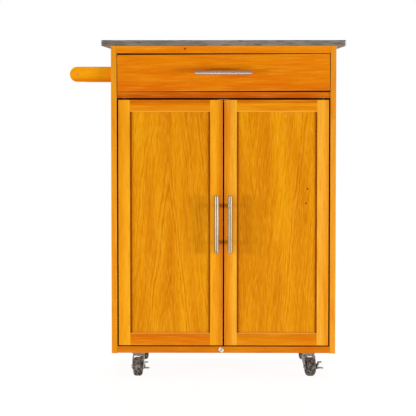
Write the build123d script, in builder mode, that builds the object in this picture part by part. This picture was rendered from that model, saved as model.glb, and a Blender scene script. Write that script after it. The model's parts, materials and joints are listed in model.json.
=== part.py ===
from build123d import *
import os

# A kitchen island cart on casters: a cupboard with two framed doors, a drawer above them, a
# worktop with a folded steel skin, and a towel rack on the left side.
#
# Everything is in millimetres. +X points right, +Y to the back and +Z up. The floor is z = 0,
# and the origin lies under the middle of the whole cart, its towel rack and handles included.

# ---- Driving dimensions ----------------------------------------------------------------------

overall_height = 891
cabinet_width = 592           # over the side panels
cabinet_depth = 420
board = 15                    # thickness of the side panels and the shelf
bottom_thickness = 17
caster_height = 65.5          # from the floor to the underside of the bottom board
side_drop = 1                 # how far the side panels reach below the bottom board
edge_round = 1.5              # easing on the wood's visible edges

worktop_width = 640
worktop_depth = 460
worktop_thickness = 15
worktop_front_overhang = 20
skin = 0.8                    # thickness of the folded steel
skin_return = 18              # width of the skin's edge folded under the worktop
skin_corner = 3

rail_depth = 50               # front to back size of the two top rails
top_rail_height = 19
middle_rail_height = 15.5
middle_rail_depth = 60
middle_rail_setback = 4
back_thickness = 6
shelf_z = 398                 # underside of the shelf
shelf_setback = 45
shelf_side_gap = 2
shelf_pin_radius = 2.5
shelf_pin_depth = 8           # of each pin inside the side panel
shelf_pin_reach = 10          # of each pin under the shelf

bolt_length = 50
bolt_inset = 60               # of the bottom board's bolts, from its front and back edges
screw_spread = 200            # of the rail and back panel screws, either side of the middle

front_thickness = 18          # doors and drawer front
drawer_front_height = 96
drawer_front_gap = 3          # above the drawer front
drawer_front_side_gap = 2
drawer_front_lean = 0.3       # degrees the drawer front is fitted out of level
middle_rail_gap = 2.5         # below the drawer front
door_top_gap = 5
door_bottom_gap = 3.2
door_side_gap = 4
door_middle_gap = 4
outer_stile = 30.5
inner_stile = 33
door_top_rail = 32
door_bottom_rail = 34
rail_bevel = 3.5              # bevel along the inner edges of the door rails
panel_recess = 6              # from the front of the frame to the front of the panel
panel_thickness = 7
panel_rebate = 3              # depth to which the panel's edges are cut back
panel_groove = 4              # width of the groove left along each stile
panel_tongue = 7              # how far the panel stands in the frame's groove
panel_edge = 0.8              # rounding of the panel's two upright edges
groove_play = 1

drawer_board = 12
drawer_side_height = 70
drawer_box_depth = 360
drawer_bottom_thickness = 4
drawer_bottom_tongue = 5
drawer_lift = 6               # from the drawer front's lower edge to the drawer sides

runner_space = 12.5           # between a side panel and the drawer's side
runner_sheet = 1.2
runner_height = 32
runner_flange = 9.5
runner_length = 350
roller_radius = 9
roller_width = 7
roller_clearance = 0.3
roller_pin_radius = 2.5
roller_pin_length = 10.2
roller_inset = 12             # of the rollers, from the ends of their runners

pivot_inset = 14              # from a door's outer edge to its pivot
pivot_depth = 10              # from a door's front face to its pivot
pivot_radius = 2.5
pivot_length = 25             # of the pin inside the door
running_clearance = 0.05      # radial, for every pin that turns in a hole
bush_radius = 4
bush_flange_radius = 5.5
bush_depth = 10

catch_width = 34
catch_depth = 14
catch_height = 13
catch_ear = 9
catch_ear_thickness = 2.5
strike_width = 20
strike_height = 12
strike_thickness = 1.2

button_offset = -6            # from the middle of the cart
button_length = 13.5
button_width = 9.5
button_thickness = 3
button_turn = -35             # degrees, seen from the front
button_screw_radius = 1.25

handle_length = 150
handle_radius = 6
handle_posts = 96             # distance between the posts
post_radius = 5
handle_reach = 35             # from the door's face to the front of the bar
door_handle_z = 409
door_handle_x = 17.6          # from the middle of the cart
handle_screw_radius = 2
handle_screw_grip = 14        # length of the handle screws inside the posts

towel_reach = 110             # of the arms, from the left side panel
towel_arm_height = 40
towel_arm_thickness = 18
towel_arm_z = 802
towel_arm_inset = 25          # of the front arm, from the front of the cabinet
towel_bar_length = 330
towel_bar_radius = 11
towel_tenon_radius = 5

wheel_radius = 25
wheel_width = 24
caster_x = 227                # from the middle of the cart
caster_front = 50             # from the front of the cabinet to the front casters' swivels
caster_spacing = 310          # from the front casters to the rear ones
caster_trail = 18
fork_width = 30
fork_sheet = 1.8
plate_size = 42
plate_thickness = 2
plate_screw = 15              # from a plate's middle to its screws, both ways
swivel_height = 9.5           # from the plate to the top of the fork
swivel_boss_radius = 12
swivel_pin_radius = 4
swivel_gap = 0.3
axle_radius = 3
rivet_head = 1.5              # thickness of the heads on the swivel pin and the axle
brake_sheet = 1.5
brake_tab = 2.8               # thickness of the lever's tabs, over their rolled edges
caster_turns = {              # degrees each caster stands turned from straight ahead
    "front_left": -2,
    "front_right": 12,
    "rear_left": 5,
    "rear_right": -7,
}

# ---- Places worked out from them --------------------------------------------------------------

middle_x = (cabinet_width / 2 + towel_reach - worktop_width / 2) / 2
left_x = middle_x - cabinet_width / 2
right_x = middle_x + cabinet_width / 2
inner_left = left_x + board
inner_right = right_x - board
worktop_back_overhang = worktop_depth - cabinet_depth - worktop_front_overhang
front_y = (handle_reach - cabinet_depth - worktop_back_overhang) / 2
back_y = front_y + cabinet_depth
panel_back_y = back_y - back_thickness

towel_bar_x = left_x - towel_reach + towel_arm_height / 2
arm_y = [
    front_y + towel_arm_inset + towel_arm_thickness / 2,
    front_y + towel_arm_inset + towel_arm_thickness * 1.5 + towel_bar_length,
]

worktop_z = overall_height - worktop_thickness
bottom_top_z = caster_height + bottom_thickness
bottom_middle_z = caster_height + bottom_thickness / 2
top_rail_z = worktop_z - top_rail_height
top_rail_middle_z = top_rail_z + top_rail_height / 2
top_rail_y = [front_y + rail_depth / 2, panel_back_y - rail_depth / 2]
drawer_front_top = top_rail_z - drawer_front_gap
drawer_front_low = drawer_front_top - drawer_front_height
middle_rail_top = drawer_front_low - middle_rail_gap
middle_rail_z = middle_rail_top - middle_rail_height
door_top = middle_rail_z - door_top_gap
door_low = bottom_top_z + door_bottom_gap
fronts_back_y = front_y + front_thickness
door_width = (inner_right - inner_left - 2 * door_side_gap - door_middle_gap) / 2

drawer_low = drawer_front_low + drawer_lift
drawer_left = inner_left + runner_space
drawer_right = inner_right - runner_space
drawer_back_y = fronts_back_y + drawer_box_depth
runner_z = drawer_low - 3
runner_front_y = fronts_back_y + 4
roller_z = runner_z + runner_sheet + roller_clearance + roller_radius
front_roller_y = runner_front_y + roller_inset
rear_roller_y = runner_front_y + runner_length - roller_inset
catch_front_y = fronts_back_y + strike_thickness + 0.2
button_x = middle_x + button_offset

pivot_x = {
    "left": inner_left + door_side_gap + pivot_inset,
    "right": inner_right - door_side_gap - pivot_inset,
}
pivot_y = front_y + pivot_depth
bottom_pivot_z = door_low - 10.5
top_pivot_z = door_top + 12

caster_places = {}
for corner, turn in caster_turns.items():
    x = middle_x + (caster_x if "right" in corner else -caster_x)
    y = front_y + caster_front + (caster_spacing if "rear" in corner else 0)
    caster_places[corner] = Plane(origin=(x, y, 0)).rotated((0, 0, turn))


# ---- Helpers ----------------------------------------------------------------------------------

FROM_FACE = (Align.CENTER, Align.CENTER, Align.MIN)


def block(low, high, mode=Mode.ADD):
    """A rectangular block between two opposite corners, in the part being built."""
    size = [b - a for a, b in zip(low, high)]
    middle = tuple((a + b) / 2 for a, b in zip(low, high))
    with Locations(middle):
        Box(*size, mode=mode)


def countersunk(place, length, shank=1.75, head=3.5):
    """A countersunk screw whose flat head lies in the plane, pointing along its normal."""
    with Locations(place):
        Cone(head, shank, head - shank, align=FROM_FACE)
        Cylinder(shank, length, align=FROM_FACE)


def pan_head(place, length, shank=2, head=4, head_height=2.5):
    """A screw with a flat round head that stands on the plane, pointing along its normal."""
    with Locations(place):
        Cylinder(shank, length, align=FROM_FACE)
    with Locations(place.offset(-head_height)):
        Cylinder(head, head_height, align=FROM_FACE)


def facing(direction, x, y, z):
    """The plane through a point whose normal is the direction given."""
    return Plane(origin=(x, y, z), z_dir=direction)


def front_plane(x, z, turn=0):
    """The plane of the cart's front, facing forward, turned anticlockwise seen from there."""
    return Plane(origin=(x, front_y, z), x_dir=Vector(1, 0, 0).rotate(Axis.Y, -turn), z_dir=(0, -1, 0))


def write(part, name):
    """Labels a finished piece and writes its file."""
    part.label = name
    export_step(part, f"parts/{name}.step")


os.makedirs("parts", exist_ok=True)

# ---- Fasteners of the cabinet, made first because the boards are drilled for them ---------------

bolt_places = [
    (top_rail_y[0], top_rail_middle_z),
    (top_rail_y[1], top_rail_middle_z),
    (front_y + middle_rail_setback + middle_rail_depth / 2, middle_rail_z + middle_rail_height / 2),
    (front_y + bolt_inset, bottom_middle_z),
    (back_y - bolt_inset, bottom_middle_z),
]

with BuildPart() as carcass_bolts:
    for y, z in bolt_places:
        countersunk(facing((1, 0, 0), left_x, y, z), bolt_length, shank=2.5, head=5)
        countersunk(facing((-1, 0, 0), right_x, y, z), bolt_length, shank=2.5, head=5)

with BuildPart() as wood_screws:
    for x in (middle_x - screw_spread, middle_x + screw_spread):
        for y in top_rail_y:
            countersunk(facing((0, 0, 1), x, y, top_rail_z), length=30)
    for x in (middle_x - screw_spread, middle_x, middle_x + screw_spread):
        for z in (bottom_middle_z, top_rail_middle_z):
            countersunk(facing((0, -1, 0), x, back_y, z), length=28)
    for y in arm_y:
        for z in (towel_arm_z - towel_arm_height / 4, towel_arm_z + towel_arm_height / 4):
            countersunk(facing((-1, 0, 0), inner_left, y, z), length=45)
    for y in (runner_front_y + 40, runner_front_y + runner_length / 2, runner_front_y + runner_length - 40):
        z = runner_z + runner_height - 6
        countersunk(facing((-1, 0, 0), inner_left + runner_sheet, y, z), length=13)
        countersunk(facing((1, 0, 0), inner_right - runner_sheet, y, z), length=13)
    for side in (-1, 1):
        ear_x = middle_x + side * (catch_width + catch_ear) / 2
        ear_z = middle_rail_z - catch_ear_thickness
        countersunk(facing((0, 0, 1), ear_x, catch_front_y + catch_depth / 2, ear_z), length=14, head=3)
    for place in caster_places.values():
        for x in (-plate_screw, plate_screw):
            for y in (-plate_screw, plate_screw):
                corner = place.from_local_coords((x, y, caster_height - plate_thickness))
                countersunk(Plane(origin=corner), length=13)
    pan_head(
        facing((0, 1, 0), button_x, front_y - button_thickness - 0.1, bottom_middle_z),
        length=15,
        shank=button_screw_radius,
        head=2.6,
        head_height=1.2,
    )

with BuildPart() as shelf_pins:
    for y in (front_y + 100, back_y - 80):
        z = shelf_z - shelf_pin_radius
        for x, inward in ((inner_left, 1), (inner_right, -1)):
            with Locations(facing((inward, 0, 0), x - inward * shelf_pin_depth, y, z)):
                Cylinder(shelf_pin_radius, shelf_pin_depth + shelf_pin_reach, align=FROM_FACE)
            with Locations(facing((inward, 0, 0), x, y, z)):
                Cylinder(shelf_pin_radius + 1.5, shelf_side_gap - 0.5, align=FROM_FACE)

bush_flanges = {bottom_top_z: door_bottom_gap - 0.5, middle_rail_z: -1.5}
bush_places = []
for x in pivot_x.values():
    bush_places.append((x, pivot_y, bottom_top_z - bush_depth))
    bush_places.append((x, pivot_y, middle_rail_z))

with BuildPart() as pivot_bushes:
    with Locations(*bush_places):
        Cylinder(bush_radius, bush_depth, align=FROM_FACE)
    for x in pivot_x.values():
        for z, flange in bush_flanges.items():
            with Locations((x, pivot_y, z + flange / 2)):
                Cylinder(bush_flange_radius, abs(flange))
        with Locations((x, pivot_y, overall_height / 2)):
            Cylinder(pivot_radius + running_clearance, overall_height, mode=Mode.SUBTRACT)

# ---- Worktop ------------------------------------------------------------------------------------

worktop_low = (middle_x - worktop_width / 2, front_y - worktop_front_overhang, worktop_z)
worktop_high = (middle_x + worktop_width / 2, back_y + worktop_back_overhang, overall_height)
core_low = (worktop_low[0] + skin, worktop_low[1] + skin, worktop_z)
core_high = (worktop_high[0] - skin, worktop_high[1] - skin, overall_height - skin)
open_low = (worktop_low[0] + skin_return, worktop_low[1] + skin_return, worktop_z)
open_high = (worktop_high[0] - skin_return, worktop_high[1] - skin_return, worktop_z + skin)

with BuildPart() as worktop_skin:
    block(worktop_low, worktop_high)
    fillet(worktop_skin.edges().filter_by(Axis.Z), skin_corner)
    fillet(worktop_skin.faces().sort_by(Axis.Z)[-1].edges(), edge_round)
    block((core_low[0], core_low[1], worktop_z + skin), core_high, mode=Mode.SUBTRACT)
    block(open_low, open_high, mode=Mode.SUBTRACT)

with BuildPart() as worktop_core:
    block(core_low, core_high)
    add(worktop_skin.part, mode=Mode.SUBTRACT)
    add(wood_screws.part, mode=Mode.SUBTRACT)

# ---- Cabinet boards -----------------------------------------------------------------------------


def side_panel(x_low):
    """A side panel, with its front edge eased and drilled for what is fastened to it."""
    with BuildPart() as panel:
        block((x_low, front_y, caster_height - side_drop), (x_low + board, back_y, worktop_z))
        fillet(panel.edges().filter_by(Axis.Z).group_by(Axis.Y)[0], edge_round)
        add(carcass_bolts.part, mode=Mode.SUBTRACT)
        add(wood_screws.part, mode=Mode.SUBTRACT)
        add(shelf_pins.part, mode=Mode.SUBTRACT)
    return panel.part


def cross_board(y_low, y_high, z_low, z_high):
    """A board from one side panel to the other, with its front edges eased."""
    with BuildPart() as rail:
        block((inner_left, y_low, z_low), (inner_right, y_high, z_high))
        fillet(rail.edges().filter_by(Axis.X).group_by(Axis.Y)[0], edge_round / 2)
        add(carcass_bolts.part, mode=Mode.SUBTRACT)
        add(wood_screws.part, mode=Mode.SUBTRACT)
        for place in bush_places:
            with Locations(place):
                Cylinder(bush_radius, bush_depth, align=FROM_FACE, mode=Mode.SUBTRACT)
    return rail.part


side_panel_left = side_panel(left_x)
side_panel_right = side_panel(inner_right)
bottom_board = cross_board(front_y, panel_back_y, caster_height, bottom_top_z)
top_rail_front = cross_board(front_y, front_y + rail_depth, top_rail_z, worktop_z)
top_rail_back = cross_board(panel_back_y - rail_depth, panel_back_y, top_rail_z, worktop_z)
middle_rail_y = front_y + middle_rail_setback
middle_rail = cross_board(middle_rail_y, middle_rail_y + middle_rail_depth, middle_rail_z, middle_rail_top)

with BuildPart() as back_panel:
    block((inner_left, panel_back_y, caster_height), (inner_right, back_y, worktop_z))
    add(wood_screws.part, mode=Mode.SUBTRACT)

with BuildPart() as shelf_board:
    block(
        (inner_left + shelf_side_gap, front_y + shelf_setback, shelf_z),
        (inner_right - shelf_side_gap, panel_back_y - 2, shelf_z + board),
    )
    fillet(shelf_board.edges().filter_by(Axis.X).group_by(Axis.Y)[0], edge_round)

with BuildPart() as magnetic_catch:
    block(
        (middle_x - catch_width / 2, catch_front_y, middle_rail_z - catch_height),
        (middle_x + catch_width / 2, catch_front_y + catch_depth, middle_rail_z),
    )
    fillet(magnetic_catch.edges().filter_by(Axis.Y).group_by(Axis.Z)[0], 2)
    block(
        (middle_x - catch_width / 2 - catch_ear, catch_front_y + 2, middle_rail_z - catch_ear_thickness),
        (middle_x + catch_width / 2 + catch_ear, catch_front_y + catch_depth - 2, middle_rail_z),
    )
    add(wood_screws.part, mode=Mode.SUBTRACT)

with BuildPart() as turn_button:
    with BuildSketch(front_plane(button_x, bottom_middle_z, button_turn)):
        RectangleRounded(button_length, button_width, 1.5)
    extrude(amount=button_thickness)
    chamfer(turn_button.faces().sort_by(Axis.Y)[0].outer_wire().edges(), 0.6)
    with Locations(front_plane(button_x, bottom_middle_z)):
        Cylinder(button_screw_radius + running_clearance, 4 * button_thickness, mode=Mode.SUBTRACT)

# ---- Towel rack -----------------------------------------------------------------------------------


def towel_arm(y_middle):
    """An arm with a fully round outer end, bored through for the bar's tenon."""
    with BuildPart() as arm:
        with BuildSketch(Plane.XZ.offset(-(y_middle - towel_arm_thickness / 2))):
            with Locations((towel_bar_x, towel_arm_z)):
                Circle(towel_arm_height / 2)
            with Locations(((left_x + towel_bar_x) / 2, towel_arm_z)):
                Rectangle(left_x - towel_bar_x, towel_arm_height)
        extrude(amount=-towel_arm_thickness)
        rims = arm.faces().filter_by(Axis.Y).edges()
        fillet([edge for edge in rims if edge.center().X < left_x - 1], 2)
        with Locations(facing((0, 1, 0), towel_bar_x, y_middle, towel_arm_z)):
            Cylinder(towel_tenon_radius, 2 * towel_arm_thickness, mode=Mode.SUBTRACT)
        add(wood_screws.part, mode=Mode.SUBTRACT)
    return arm.part


towel_arm_front = towel_arm(arm_y[0])
towel_arm_rear = towel_arm(arm_y[1])

with BuildPart() as towel_bar:
    with Locations(facing((0, 1, 0), towel_bar_x, sum(arm_y) / 2, towel_arm_z)):
        Cylinder(towel_bar_radius, towel_bar_length)
        Cylinder(towel_tenon_radius, towel_bar_length + 2 * towel_arm_thickness)

# ---- Handles ------------------------------------------------------------------------------------------


def handle(middle, along, face_y):
    """A T-bar handle: a bar along a direction, on two posts welded to its back."""
    bar_y = face_y - handle_reach + handle_radius
    with BuildPart() as pull:
        with Locations(facing(along, middle[0], bar_y, middle[1])):
            Cylinder(handle_radius, handle_length)
        chamfer(pull.edges().filter_by(GeomType.CIRCLE), 0.8)
        for x, z in post_centres(middle, along):
            with Locations(facing((0, -1, 0), x, face_y, z)):
                Cylinder(post_radius, face_y - bar_y, align=FROM_FACE)
            with Locations(facing((0, -1, 0), x, face_y, z)):
                Cylinder(handle_screw_radius, handle_screw_grip, align=FROM_FACE, mode=Mode.SUBTRACT)
    return pull.part


def post_centres(middle, along):
    """Where the posts of a handle stand, as x and z."""
    step = handle_posts / 2
    return [(middle[0] + s * along[0] * step, middle[1] + s * along[2] * step) for s in (-1, 1)]


def handle_screws(middle, along):
    """The screws from behind a front into a handle's posts, in the part being built."""
    for x, z in post_centres(middle, along):
        pan_head(
            facing((0, -1, 0), x, fronts_back_y, z),
            length=front_thickness + handle_screw_grip,
            shank=handle_screw_radius,
        )


# ---- Doors --------------------------------------------------------------------------------------------


def make_door(side):
    """Builds one door and writes its pieces. Both doors are alike, mirrored left to right."""
    outward = -1 if side == "left" else 1
    outer_x = (inner_left + door_side_gap) if side == "left" else (inner_right - door_side_gap)
    inner_x = outer_x - outward * door_width
    stile_joint_outer = outer_x - outward * outer_stile
    stile_joint_inner = inner_x + outward * inner_stile
    opening_left, opening_right = sorted((stile_joint_outer, stile_joint_inner))
    opening_low = door_low + door_bottom_rail
    opening_top = door_top - door_top_rail
    handle_middle = (middle_x + outward * door_handle_x, door_handle_z)
    upright = (0, 0, 1)

    with BuildPart() as pivot_pins:
        with Locations((pivot_x[side], pivot_y, bottom_pivot_z)):
            Cylinder(pivot_radius, door_low + pivot_length - bottom_pivot_z, align=FROM_FACE)
        with Locations((pivot_x[side], pivot_y, door_top - pivot_length)):
            Cylinder(pivot_radius, top_pivot_z - door_top + pivot_length, align=FROM_FACE)

    strike_x = inner_x + outward * (2 + strike_width / 2)
    strike_z = door_top - 1 - strike_height / 2
    with BuildPart() as screws:
        handle_screws(handle_middle, upright)
        strike_screw = facing((0, -1, 0), strike_x, fronts_back_y + strike_thickness, strike_z)
        countersunk(strike_screw, length=12, shank=1.5, head=2.7)

    with BuildPart() as strike:
        block(
            (strike_x - strike_width / 2, fronts_back_y, strike_z - strike_height / 2),
            (strike_x + strike_width / 2, fronts_back_y + strike_thickness, strike_z + strike_height / 2),
        )
        add(screws.part, mode=Mode.SUBTRACT)

    tongue_y = front_y + panel_recess + panel_rebate
    panel_back = front_y + panel_recess + panel_thickness
    with BuildPart() as panel:
        block(
            (opening_left - panel_tongue, tongue_y, opening_low - panel_tongue),
            (opening_right + panel_tongue, panel_back, opening_top + panel_tongue),
        )
        block(
            (opening_left + panel_groove, front_y + panel_recess, opening_low),
            (opening_right - panel_groove, tongue_y, opening_top),
        )
        fillet(panel.faces().sort_by(Axis.Y)[0].edges().filter_by(Axis.Z), panel_edge)

    with BuildPart() as frame:
        with BuildSketch(Plane.XZ.offset(-front_y)):
            with Locations(((outer_x + inner_x) / 2, (door_low + door_top) / 2)):
                Rectangle(door_width, door_top - door_low)
            with Locations(((opening_left + opening_right) / 2, (opening_low + opening_top) / 2)):
                Rectangle(opening_right - opening_left, opening_top - opening_low, mode=Mode.SUBTRACT)
        extrude(amount=-front_thickness)
        inner_edges = frame.faces().sort_by(Axis.Y)[0].inner_wires()[0].edges()
        chamfer(inner_edges.filter_by(Axis.X), rail_bevel)
        fillet(frame.faces().sort_by(Axis.Y)[0].outer_wire().edges(), edge_round)
        groove = panel_tongue + groove_play
        block(
            (opening_left - groove, tongue_y, opening_low - groove),
            (opening_right + groove, panel_back, opening_top + groove),
            mode=Mode.SUBTRACT,
        )
        add(pivot_pins.part, mode=Mode.SUBTRACT)
        add(screws.part, mode=Mode.SUBTRACT)

    members = {
        "outer_stile": (outer_x, stile_joint_outer, door_low, door_top),
        "inner_stile": (inner_x, stile_joint_inner, door_low, door_top),
        "top_rail": (opening_left, opening_right, opening_top - groove, door_top),
        "bottom_rail": (opening_left, opening_right, door_low, opening_low + groove),
    }
    for member, (x_one, x_two, z_low, z_high) in members.items():
        with BuildPart() as piece:
            add(frame.part)
            block(
                (min(x_one, x_two), front_y, z_low),
                (max(x_one, x_two), fronts_back_y, z_high),
                mode=Mode.INTERSECT,
            )
        write(piece.part, f"door_{side}_{member}")

    write(panel.part, f"door_{side}_panel")
    write(handle(handle_middle, upright, front_y), f"door_{side}_handle")
    write(screws.part, f"door_{side}_screws")
    write(strike.part, f"door_{side}_strike")
    write(pivot_pins.part, f"door_{side}_pivot_pins")


make_door("left")
make_door("right")

# ---- Drawer -------------------------------------------------------------------------------------------

drawer_top = drawer_low + drawer_side_height
drawer_bottom_z = drawer_low + 7
drawer_front_z = (drawer_front_low + drawer_front_top) / 2
rail_web = (drawer_low, drawer_low + 24)
rail_flange_z = roller_z + roller_radius + roller_clearance
level = (1, 0, 0)

with BuildPart() as drawer_screws:
    handle_screws((middle_x, drawer_front_z), level)
    for y in (fronts_back_y + 60, fronts_back_y + 180, fronts_back_y + 300):
        z = drawer_low + 4
        countersunk(facing((1, 0, 0), drawer_left - runner_sheet, y, z), length=12, shank=1.5, head=2.7)
        countersunk(facing((-1, 0, 0), drawer_right + runner_sheet, y, z), length=12, shank=1.5, head=2.7)

with BuildPart() as drawer_bottom:
    block(
        (drawer_left + drawer_board - drawer_bottom_tongue, fronts_back_y - 6, drawer_bottom_z),
        (
            drawer_right - drawer_board + drawer_bottom_tongue,
            drawer_back_y,
            drawer_bottom_z + drawer_bottom_thickness,
        ),
    )

with BuildPart() as drawer_front:
    with BuildSketch(front_plane(middle_x, drawer_front_z, drawer_front_lean)):
        Rectangle(inner_right - inner_left - 2 * drawer_front_side_gap, drawer_front_height)
    extrude(amount=-front_thickness)
    fillet(drawer_front.faces().sort_by(Axis.Y)[0].edges(), edge_round)
    add(drawer_bottom.part, mode=Mode.SUBTRACT)
    add(drawer_screws.part, mode=Mode.SUBTRACT)


def drawer_side(x_low):
    """A drawer side, grooved for the bottom."""
    with BuildPart() as side:
        block((x_low, fronts_back_y, drawer_low), (x_low + drawer_board, drawer_back_y, drawer_top))
        fillet(side.edges().filter_by(Axis.Y).group_by(Axis.Z)[-1], edge_round)
        add(drawer_bottom.part, mode=Mode.SUBTRACT)
        add(drawer_screws.part, mode=Mode.SUBTRACT)
    return side.part


drawer_side_left = drawer_side(drawer_left)
drawer_side_right = drawer_side(drawer_right - drawer_board)

with BuildPart() as drawer_back:
    drawer_back_z = drawer_bottom_z + drawer_bottom_thickness
    block(
        (drawer_left + drawer_board, drawer_back_y - drawer_board, drawer_back_z),
        (drawer_right - drawer_board, drawer_back_y, drawer_top),
    )

drawer_handle = handle((middle_x, drawer_front_z), level, front_y)

# ---- Drawer runners: a channel on each side panel, a rail on each drawer side, nylon rollers ---------

roller_x = inner_left + runner_sheet + 1.4

with BuildPart() as cabinet_runners:
    with BuildSketch(Plane.XZ.offset(-runner_front_y)):
        with Locations((inner_left, runner_z)):
            Rectangle(runner_sheet, runner_height, align=(Align.MIN, Align.MIN))
            Rectangle(runner_flange, runner_sheet, align=(Align.MIN, Align.MIN))
        with Locations((inner_left, runner_z + runner_height)):
            Rectangle(runner_flange, runner_sheet, align=(Align.MIN, Align.MAX))
    extrude(amount=-runner_length)
    with Locations(facing((1, 0, 0), inner_left, front_roller_y, roller_z)):
        Cylinder(roller_pin_radius, roller_pin_length, align=FROM_FACE)
    add(wood_screws.part, mode=Mode.SUBTRACT)
    mirror(about=Plane.YZ.offset(middle_x))

with BuildPart() as drawer_runners:
    with BuildSketch(Plane.XZ.offset(-(fronts_back_y + 2))):
        with Locations((drawer_left, rail_web[0])):
            Rectangle(runner_sheet, rail_web[1] - rail_web[0], align=(Align.MAX, Align.MIN))
        with Locations((drawer_left, rail_flange_z)):
            Rectangle(runner_flange, runner_sheet, align=(Align.MAX, Align.MIN))
    extrude(amount=-(rear_roller_y + roller_inset - fronts_back_y - 2))
    with Locations(facing((-1, 0, 0), drawer_left, rear_roller_y, roller_z)):
        Cylinder(roller_pin_radius, roller_pin_length, align=FROM_FACE)
    add(drawer_screws.part, mode=Mode.SUBTRACT)
    mirror(about=Plane.YZ.offset(middle_x))


def roller_pair(y):
    """The two nylon rollers that share one axis across the cart."""
    with BuildPart() as rollers:
        with BuildSketch(Plane.YZ.offset(roller_x)):
            with Locations((y, roller_z)):
                Circle(roller_radius)
                Circle(roller_pin_radius + running_clearance, mode=Mode.SUBTRACT)
        extrude(amount=roller_width)
        chamfer(rollers.edges().filter_by(GeomType.CIRCLE).group_by(SortBy.RADIUS)[-1], 0.8)
        mirror(about=Plane.YZ.offset(middle_x))
    return rollers.part


# ---- Casters, made once about their swivel and then set at the four corners ------------------------------

crown_z = caster_height - plate_thickness - swivel_height
swivel_low_z = crown_z - fork_sheet - swivel_gap
axle_z = wheel_radius

with BuildPart() as caster_plate:
    with BuildSketch(Plane.XY.offset(caster_height - plate_thickness)):
        RectangleRounded(plate_size, plate_size, 4)
    extrude(amount=plate_thickness)
    with BuildSketch(Plane.XY.offset(crown_z + swivel_gap)):
        Circle(swivel_boss_radius)
    extrude(amount=swivel_height - swivel_gap)
    with BuildSketch(Plane.XY.offset(swivel_low_z)):
        Circle(swivel_pin_radius)
    extrude(amount=fork_sheet + 2 * swivel_gap)
    with BuildSketch(Plane.XY.offset(swivel_low_z - rivet_head)):
        Circle(swivel_pin_radius + 2.5)
    extrude(amount=rivet_head)
    for x in (-plate_screw, plate_screw):
        for y in (-plate_screw, plate_screw):
            with Locations((x, y, caster_height - plate_thickness)):
                Cone(3.5, 1.75, 1.75, align=FROM_FACE, mode=Mode.SUBTRACT)
                Cylinder(1.75, 2 * plate_thickness, align=FROM_FACE, mode=Mode.SUBTRACT)

with BuildPart() as caster_plates:
    with Locations(*[place.location for place in caster_places.values()]):
        add(caster_plate.part)


def make_fork(braked):
    """A fork bent from sheet: a crown, two tapering legs, and the axle riveted across them."""
    with BuildPart() as fork:
        with BuildSketch(Plane.YZ.offset(-fork_width / 2)):
            with Locations((-caster_trail, axle_z)):
                Circle(8)
            with Locations((1, crown_z - 5)):
                Rectangle(30, 10)
            make_hull()
        extrude(amount=fork_sheet)
        mirror(about=Plane.YZ)
        with BuildSketch(Plane.XY.offset(crown_z - fork_sheet)):
            with Locations((0, 1)):
                Rectangle(fork_width, 30)
            Circle(swivel_pin_radius + running_clearance, mode=Mode.SUBTRACT)
        extrude(amount=fork_sheet)
        crown_edges = fork.edges().filter_by(Axis.Y).group_by(Axis.Z)[-1]
        fillet(crown_edges, fork_sheet)
        extra = brake_sheet + 0.4 if braked else 0
        axle_low = -fork_width / 2 - rivet_head
        axle_high = fork_width / 2 + extra + rivet_head
        with Locations(facing((1, 0, 0), axle_low, -caster_trail, axle_z)):
            Cylinder(axle_radius, axle_high - axle_low, align=FROM_FACE)
            Cylinder(axle_radius + 2, rivet_head, align=FROM_FACE)
        with Locations(facing((-1, 0, 0), axle_high, -caster_trail, axle_z)):
            Cylinder(axle_radius + 2, rivet_head, align=FROM_FACE)
    return fork.part


with BuildPart() as wheel:
    with BuildSketch(Plane.YZ.offset(-wheel_width / 2)):
        with Locations((-caster_trail, axle_z)):
            Circle(wheel_radius)
            Circle(axle_radius + running_clearance, mode=Mode.SUBTRACT)
    extrude(amount=wheel_width)
    fillet(wheel.edges().filter_by(GeomType.CIRCLE).group_by(SortBy.RADIUS)[-1], 7.5)
    for outside in (-1, 1):
        with BuildSketch(Plane.YZ.offset(outside * wheel_width / 2)):
            with Locations((-caster_trail, axle_z)):
                Circle(15)
                Circle(6, mode=Mode.SUBTRACT)
        extrude(amount=-outside * 3, mode=Mode.SUBTRACT)

lever_low = fork_width / 2 + 0.2
lever_front = -caster_trail - 20
lever_tab = 13                 # front to back size of the lever's two tabs
with BuildPart() as brake_lever:
    with BuildSketch(Plane.YZ.offset(lever_low)):
        with Locations((-caster_trail, axle_z)):
            Circle(7)
        with Locations((lever_front + lever_tab / 2, axle_z + 2)):
            Rectangle(lever_tab, 12)
        make_hull()
        with Locations((-caster_trail, axle_z)):
            Circle(axle_radius + running_clearance, mode=Mode.SUBTRACT)
    extrude(amount=brake_sheet)
    with BuildSketch(Plane.XZ.offset(-lever_front)):
        with BuildLine():
            Polyline(
                (lever_low + 1.5, axle_z + 5.5),
                (lever_low + 4.5, axle_z + 13),
                (lever_low + 12, axle_z + 13.5),
            )
        trace(line_width=brake_tab)
        with BuildLine():
            Polyline(
                (lever_low + 1.5, axle_z - 3),
                (lever_low + 6, axle_z - 1.5),
                (lever_low + 16, axle_z - 2.5),
            )
        trace(line_width=brake_tab)
    extrude(amount=-lever_tab)

braked_fork = make_fork(braked=True)
plain_fork = make_fork(braked=False)

for corner, place in caster_places.items():
    front = corner.startswith("front")
    fork = braked_fork if front else plain_fork
    write(fork.moved(place.location), f"caster_{corner}_fork")
    write(wheel.part.moved(place.location), f"caster_{corner}_wheel")
    if front:
        write(brake_lever.part.moved(place.location), f"caster_{corner}_brake_lever")

# ---- The single pieces ---------------------------------------------------------------------------------

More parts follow.
